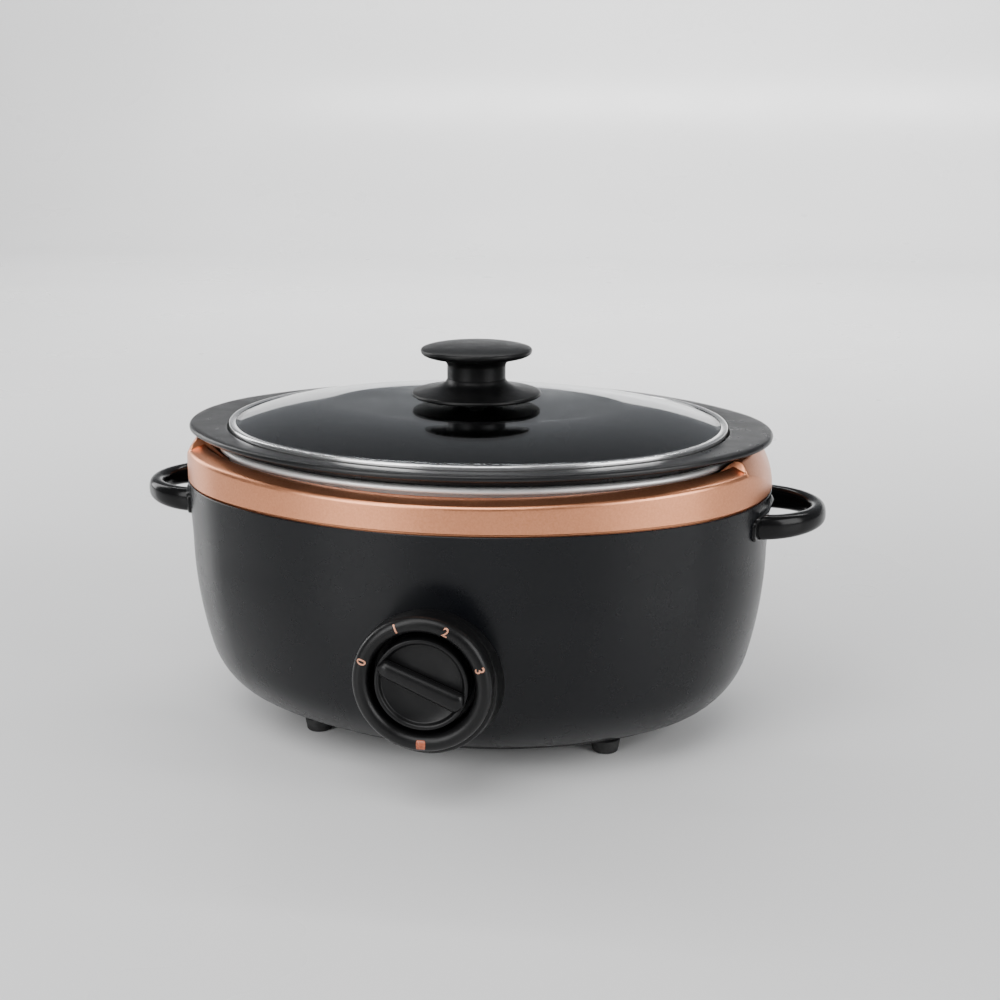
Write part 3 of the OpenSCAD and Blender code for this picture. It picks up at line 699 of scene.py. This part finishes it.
def bezel():
    """Moulded pod: its back edge follows the body, and its face is a rounded ring round a deep recess."""
    turns = [TAU * i / POD_STEPS for i in range(POD_STEPS)]
    crest = BEZEL_Y - RING_W
    pod = [(POD_R, None), (POD_R, POD_FRONT - 6 * MM), (POD_R, POD_FRONT - 1.2 * MM)]
    pod += [(POD_R - 0.35 * MM, POD_FRONT - 0.35 * MM), (POD_R - 1.0 * MM, POD_FRONT - 0.05 * MM)]
    rings = [pod_ring(r, depth) for r, depth in pod]
    face = [(BEZEL_R - 0.1 * MM, POD_FRONT), (BEZEL_R, POD_FRONT + 0.5 * MM), (BEZEL_R, crest - 1 * MM)]
    face += [(RING_R + RING_W * math.cos(t), crest + RING_W * math.sin(t))
             for t in (math.pi * i / 20 for i in range(21))]
    face += [(OPENING_R, RECESS_Y + 1.5 * MM), (OPENING_R - 0.45 * MM, RECESS_Y + 0.45 * MM)]
    under = RECESS_Y - 2 * MM
    face += [(OPENING_R - 1.5 * MM, RECESS_Y), (SPINDLE_HOLE, RECESS_Y), (SPINDLE_HOLE, under)]
    for r, depth in face:
        rings.append([(r * math.cos(t), MID_Y - depth, DIAL_Z + r * math.sin(t)) for t in turns])
    rings += [pod_ring(POD_R - POD_WALL, under), pod_ring(POD_R - POD_WALL, None)]
    piece = loft("bezel_pod", rings, RING, "base", closed=True)
    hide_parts("control_bezel")


def on_ring(x, z, lift):
    """A point of the bezel's face in front of (x, z), measured from the dial's centre."""
    return (x, MID_Y - ring_depth(math.hypot(x, z)) - lift, DIAL_Z + z)


def numerals():
    """Numbers 0 to 3 printed on the face ring where the dial's settings are."""
    count = 4
    height = 6.2 * MM
    for i in range(count):
        curve = bpy.data.curves.new("numeral", "FONT")
        curve.body = str(i)
        curve.size = height
        curve.align_x = "CENTER"
        curve.align_y = "CENTER"
        curve.extrude = 0.10 * MM
        curve.offset = 0.012 * height
        curve.resolution_u = 6
        text = bpy.data.objects.new("numeral", curve)
        bpy.context.scene.collection.objects.link(text)
        bpy.context.view_layer.update()
        mesh = bpy.data.meshes.new_from_object(text.evaluated_get(bpy.context.evaluated_depsgraph_get()))
        bpy.data.objects.remove(text)
        angle = FIRST_MARK - DIAL_SWEEP * i / (count - 1)
        upright = Matrix.Rotation(angle - math.pi / 2, 3, "Z")
        work = bmesh.new()
        work.from_mesh(mesh)
        bmesh.ops.subdivide_edges(work, edges=[e for e in work.edges if e.calc_length() > 1 * MM], cuts=3)
        for v in work.verts:
            flat = upright @ Vector((v.co.x, v.co.y, 0))
            x, z = flat.x + RING_R * math.cos(angle), flat.y + RING_R * math.sin(angle)
            v.co = on_ring(x, z, v.co.z + 0.02 * MM)
        bmesh.ops.recalc_face_normals(work, faces=work.faces)
        work.to_mesh(mesh)
        work.free()
        mesh.materials.clear()
        mesh.materials.append(PRINT)
        piece = bpy.data.objects.new("numeral_%d" % i, mesh)
        bpy.context.scene.collection.objects.link(piece)
        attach(piece, "base")
        if i == 0:
            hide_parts("dial_marks")


def lamp_cover():
    """Lamp cover: a small rounded block whose face follows the ring."""
    half = 2.3 * MM
    around = 40
    rings = []
    for scale, lift in ((1.0, -5.5), (1.0, -0.3), (0.97, 0.1), (0.88, 0.28), (0.6, 0.32), (0.2, 0.32)):
        ring = []
        for k in range(around):
            t = TAU * k / around
            c, s = math.cos(t), math.sin(t)
            x = math.copysign(abs(c) ** 0.3, c) * half * scale
            z = math.copysign(abs(s) ** 0.3, s) * half * scale - LAMP_DROP
            ring.append(on_ring(x, z, lift * MM))
        rings.append(ring)
    piece = loft("lamp_cover", rings, LAMP, "base")
    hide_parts("indicator_lens")


def dial():
    """Dial: a raised lip, a face set back inside it, and a tapered bar to grip."""
    back = DIAL_BACK
    floor = FACE_Y - DIAL_STEP
    bore = 3.1 * MM
    profile = [(bore, back), (DIAL_R - 0.5 * MM, back), (DIAL_R, back + 0.5 * MM)]
    profile += [(DIAL_R, FACE_Y - 0.9 * MM), (DIAL_R - 0.25 * MM, FACE_Y - 0.25 * MM)]
    profile += [(DIAL_R - 0.9 * MM, FACE_Y)]
    profile += [(DIAL_R - 1.7 * MM, FACE_Y - 0.1 * MM), (DIAL_R - 2.3 * MM, FACE_Y - 0.7 * MM)]
    profile += [(DIAL_R - 2.7 * MM, floor + 0.5 * MM), (DIAL_R - 3.3 * MM, floor)]
    profile += [(10 * MM, floor), (bore, floor)]
    disc = turned("dial_disc", profile, DIAL, "dial", DIAL_CENTRE, forward=True, closed=True)
    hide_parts("control_knob")
    grip_bar()


def grip_bar():
    """The bar: full width of the dial, with a rounded crest and a lower, rounded pointer end."""
    pointing = FIRST_MARK - math.radians(3)
    reach = DIAL_R - 0.6 * MM
    floor = FACE_Y - DIAL_STEP - 0.4 * MM
    stations = 34
    rings = []
    for i in range(stations + 1):
        w = i / stations
        along = -reach + 2 * reach * w
        end = math.sqrt(max(0.0, 1 - (along / reach) ** 2))
        half = (4.0 + 1.0 * w) * MM * min(1.0, 0.25 + 1.6 * end)
        slope = min(1.0, (1 - abs(along) / reach) * 3.2 + 0.30)
        high = blended(FACE_Y + 0.2 * MM, GRIP_Y, math.sin(slope * math.pi / 2))
        ring = []
        for k in range(28):
            t = TAU * k / 28
            c, s = math.cos(t), math.sin(t)
            across = math.copysign(abs(c) ** 0.55, c) * half * (1.0 if s < 0 else 1 - 0.32 * s)
            rise = blended(floor, high, 0.5 + 0.5 * math.copysign(abs(s) ** 0.6, s))
            ring.append((along, across, rise))
        rings.append(ring)
    turn = Matrix.Rotation(pointing + math.pi, 3, "Z")
    placed = []
    for ring in rings:
        row = []
        for along, across, rise in ring:
            flat = turn @ Vector((along, across, 0))
            row.append((flat.x, MID_Y - rise, DIAL_Z + flat.y))
        placed.append(row)
    piece = loft("dial_grip", placed, DIAL, "dial", smooth=50)


# ---------- pot and lid ----------

POT_WALL = 2.5 * MM
MOUTH = oval(132 * MM + POT_WALL, 103 * MM + POT_WALL)
RIM = oval(RIM_A, RIM_B, (4, 3))
RECESS = oval(LID_A + 0.8 * MM, LID_B + 0.8 * MM)
LID = oval(LID_A, LID_B)
SEAT_Z = RIM_Z - 2.3 * MM
NECK_Z = FLANGE_TOP + 0.3 * MM
POT_CORNER = 23 * MM


def pot_body():
    """Coated pot: a deep dish, a neck, and a wide rim whose outline draws out into two ears."""
    under = RIM_Z - 3.3 * MM
    outside = [(MOUTH, x, z) for x, z in dish(POT_FLOOR, POT_CORNER, 0, NECK_Z - 0.4 * MM)]
    neck = [(0.4, NECK_Z), (3.9, NECK_Z), (4.5, NECK_Z + 0.6 * MM), (4.5, under - 0.6 * MM), (5.1, under)]
    outside += [(MOUTH, x * MM, z) for x, z in neck]
    edge = [(RIM, x * MM, under + z * MM) for x, z in
            ((-7, 0), (-1.7, 0), (-0.7, 0.2), (-0.15, 0.75), (0, 1.35))]
    edge += [(RIM, -1.7 * MM + x, RIM_Z - 1.7 * MM + z) for x, z in mm(arc(0, 0, 1.7, 8, 82, 7))]
    edge += [(RIM, -4 * MM, RIM_Z), (RIM, -7.5 * MM, RIM_Z - 0.05 * MM)]
    recess = [(RECESS, x * MM, RIM_Z + z * MM) for x, z in
              ((1.5, -0.05), (0.7, -0.12), (0.2, -0.4), (0, -0.9), (0, -1.7), (-0.5, -2.2), (-1.4, -2.3))]
    mouth = [(MOUTH, -POT_WALL + x * MM, SEAT_Z + z * MM) for x, z in ((1.2, 0), (0.35, -0.3), (0, -1.1))]
    inside = [(MOUTH, x, z) for x, z in dish(POT_FLOOR, POT_CORNER, -POT_WALL, SEAT_Z - 8 * MM)[::-1]]
    rings = [oval_ring(shape, out, z) for shape, out, z in outside + edge + recess + mouth + inside]
    piece = loft("pot_body", rings, COATING, "pot", smooth=50)
    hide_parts("pot")


GLASS_T = 2.8 * MM
GLASS_EDGE = GLASS_Z + GLASS_T
DOME_W = 56 * MM
EDGE_FLAT = 4 * MM


def lid_pane():
    """Domed glass with a ground edge and a centre hole."""
    rise = DOME_TOP - GLASS_EDGE
    steps = 22
    dome = []
    for i in range(steps + 1):
        s = 1 - i / steps
        dome.append((-EDGE_FLAT - DOME_W * (1 - s), GLASS_EDGE + rise * (1 - s * s)))
    edge = [(-1.0 * MM, GLASS_Z), (-0.7 * MM, GLASS_Z + 0.3 * MM)]
    edge += [(-0.7 * MM, GLASS_EDGE - 0.3 * MM), (-1.0 * MM, GLASS_EDGE)]
    lower = [(x, z - GLASS_T) for x, z in dome]
    rings = [oval_ring(LID, x, z) for x, z in lower[::-1] + edge + dome]
    hole = 3.2 * MM
    top, bottom = [[(hole * math.cos(t), hole * math.sin(t) + MID_Y, z) for t in ANGLES]
                   for z in (DOME_TOP, DOME_TOP - GLASS_T)]
    rings = [bottom] + rings + [top]
    piece = loft("lid_pane", rings, GLASS, "lid", closed=True)
    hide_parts("lid_glass")


def lid_hoop():
    """Steel hoop rolled over the edge of the glass."""
    low, high = HOOP_Z, HOOP_TOP
    profile = [(-3.2 * MM, low + 0.55 * MM), (-3.2 * MM, low + 0.1 * MM), (-2.8 * MM, low), (-0.6 * MM, low)]
    profile += [(-0.15 * MM, low + 0.15 * MM), (0, low + 0.6 * MM), (0, high - 0.9 * MM)]
    profile += [(-0.9 * MM + x, high - 0.9 * MM + z) for x, z in mm(arc(0, 0, 0.9, 20, 90, 5))]
    profile += [(-3.2 * MM, high), (-3.6 * MM, high - 0.3 * MM), (-3.6 * MM, GLASS_EDGE + 0.05 * MM)]
    profile += [(-0.65 * MM, GLASS_EDGE + 0.05 * MM), (-0.65 * MM, low + 0.55 * MM)]
    piece = swept("lid_hoop", LID, profile, HOOP, "lid", closed=True)
    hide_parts("lid_rim")


NECK_R = 15.8 * MM


def knob():
    """Knob: a shallow mushroom on a thick neck, and the flared skirt under it."""
    edge_z = KNOB_TOP - 3.6 * MM
    cap = [(3 * MM, KNOB_SEAM), (NECK_R, KNOB_SEAM), (NECK_R, edge_z - 8.2 * MM)]
    cap += [(NECK_R + x * MM, edge_z + z * MM) for x, z in
            ((0.25, -7.2), (0.9, -6.2), (2.0, -5.35), (3.6, -4.7))]
    cap += [(KNOB_R - 2.4 * MM, edge_z - 2.7 * MM), (KNOB_R - 1.1 * MM, edge_z - 2.1 * MM)]
    cap += [(KNOB_R - 0.25 * MM, edge_z - 1.3 * MM), (KNOB_R, edge_z - 0.4 * MM)]
    cap += [(KNOB_R - 1.3 * MM + x, edge_z + z) for x, z in mm(arc(0, 0, 1.3, 0, 62, 6))]
    cap += [(r * MM, edge_z + z * MM) for r, z in
            ((27.4, 1.75), (25, 2.25), (21, 2.75), (16, 3.15), (10, 3.42), (4, 3.57))]
    top = turned("knob_cap", cap, KNOB, "lid", (0, MID_Y, 0))
    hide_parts("lid_knob")
    rim_z = SKIRT_Z + 3.4 * MM
    skirt = [(3 * MM, SKIRT_Z), (12 * MM, SKIRT_Z), (13.5 * MM, SKIRT_Z + 0.8 * MM)]
    skirt += [(SKIRT_R - 3 * MM, rim_z - 1.35 * MM)]
    skirt += [(SKIRT_R - 1.2 * MM + x, rim_z + z) for x, z in mm(arc(0, 0, 1.2, -75, 70, 9))]
    skirt += [(r * MM, SKIRT_Z + z * MM) for r, z in
              ((32.6, 4.85), (29, 5.5), (25, 6.2), (21.5, 7.1), (18.8, 8.2),
               (17.1, 9.4), (16.2, 10.6), (15.8, 11.6), (15.4, 12.0))]
    base = turned("knob_skirt", skirt, KNOB, "lid", (0, MID_Y, 0))
    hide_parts("knob_base")


# ---------- carried-over CAD nodes ----------

CARRIED = {
    "base_plate": COVER, "heat_shield": SHEET, "foot_screws": SCREW, "handle_screws": SCREW,
    "bezel_screws": SCREW, "neon_lamp": NEON, "rotary_switch": SWITCH, "heater_band": CERAMIC,
    "clamp_bolt": SCREW, "clamp_spring": SCREW, "thermostat": BRASS, "thermal_fuse": CERAMIC,
    "fuse_clip": SHEET, "terminal_block": CERAMIC,
    "terminal_screws": BRASS, "supply_leads": plain("wire_brown", (0.16, 0.07, 0.03), 0.5),
    "heater_leads": plain("wire_white", (0.72, 0.71, 0.67), 0.55),
    "switch_leads": plain("wire_red", (0.48, 0.04, 0.03), 0.5),
    "earth_wire": plain("wire_green", (0.24, 0.42, 0.06), 0.5), "cord_gland": GLOSS, "well_stud": SCREW,
    "well_nut": SCREW, "lid_screw": SCREW, "lid_washer": SHEET, "lid_seal": RUBBER, "knob_spindle": SCREW,
}


def dress_nodes():
    for node, material in CARRIED.items():
        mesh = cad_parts[node].data
        mesh.materials.clear()
        mesh.materials.append(material)


# ---------- floor and light ----------


def floor_and_wall():
    """Pale floor that curves up into a backdrop."""
    s = Shader("floor", (0.72, 0.72, 0.72), 0.30, Specular_IOR_Level=0.45)
    s.colors(s.noise(1.5, 2), (0.70, 0.70, 0.70), (0.74, 0.74, 0.74))
    s.roughness(s.noise(5, 3), 0.26, 0.34)
    front, back, half, bend, high = -2.5, 2.5, 4.0, 0.55, 0.72
    path = [(front, 0.0)] + [(back + bend * math.sin(t), bend - bend * math.cos(t))
                             for t in (math.pi / 2 * i / 16 for i in range(17))] + [(back + bend, high)]
    verts = [(x, y, z) for y, z in path for x in (-half, half)]
    faces = [(2 * i, 2 * i + 1, 2 * i + 3, 2 * i + 2) for i in range(len(path) - 1)]
    mesh = bpy.data.meshes.new("floor")
    mesh.from_pydata(verts, [], faces)
    mesh.polygons.foreach_set("use_smooth", [True] * len(mesh.polygons))
    mesh.materials.append(s.material)
    floor = bpy.data.objects.new("floor", mesh)
    bpy.context.scene.collection.objects.link(floor)


LIGHT_AIM_Z = 0.10


def softbox(name, azimuth, elevation, distance, width, height, power):
    """An area light round the object. Azimuth 0 is the front and 90 is the right."""
    data = bpy.data.lights.new(name, "AREA")
    data.shape = "RECTANGLE"
    data.size = width
    data.size_y = height
    data.energy = power
    lamp = bpy.data.objects.new(name, data)
    a, e = math.radians(azimuth), math.radians(elevation)
    back = Vector((math.sin(a) * math.cos(e), -math.cos(a) * math.cos(e), math.sin(e)))
    lamp.location = Vector((0, MID_Y, LIGHT_AIM_Z)) + back * distance
    lamp.rotation_mode = "QUATERNION"
    lamp.rotation_quaternion = back.to_track_quat("Z", "Y")
    bpy.context.scene.collection.objects.link(lamp)
    return lamp


def studio_world():
    """A room that is bright behind the object, dimmer overhead and dark in front of it."""
    world = bpy.data.worlds.new("studio")
    world.use_nodes = True
    tree = world.node_tree
    place = tree.nodes.new("ShaderNodeTexCoord")
    split = tree.nodes.new("ShaderNodeSeparateXYZ")
    ramp = tree.nodes.new("ShaderNodeMapRange")
    ramp.inputs["From Min"].default_value = -0.25
    ramp.inputs["From Max"].default_value = 0.95
    ramp.inputs["To Min"].default_value = 0.14
    ramp.inputs["To Max"].default_value = 0.32
    tree.links.new(place.outputs["Generated"], split.inputs["Vector"])
    tree.links.new(split.outputs["Y"], ramp.inputs["Value"])
    back = tree.nodes["Background"]
    back.inputs["Color"].default_value = (0.92, 0.95, 1.0, 1)
    tree.links.new(ramp.outputs["Result"], back.inputs["Strength"])
    bpy.context.scene.world = world


def lights():
    studio_world()
    softbox("left_softbox", -34, 20, 1.5, 0.75, 1.0, 15)
    softbox("right_softbox", 64, 20, 1.5, 0.85, 1.0, 17)
    softbox("left_back_softbox", -112, 20, 1.4, 0.45, 1.0, 8)
    softbox("top_softbox", -12, 56, 1.9, 1.5, 1.1, 26)
    backdrop = softbox("backdrop_light", 180, 58, 2.3, 3.4, 0.6, 175)
    wall = Vector((0, 3.1, 0.3))
    wash = (wall - backdrop.location).normalized()
    backdrop.rotation_quaternion = (-wash).to_track_quat("Z", "Y")


make_camera()
body_skin()
trim_ring()
well_shell()
feet()
handle(-1, "handle_left", "left_handle")
handle(1, "handle_right", "right_handle")
bezel()
numerals()
lamp_cover()
dial()
pot_body()
lid_pane()
lid_hoop()
knob()
dress_nodes()
floor_and_wall()
lights()
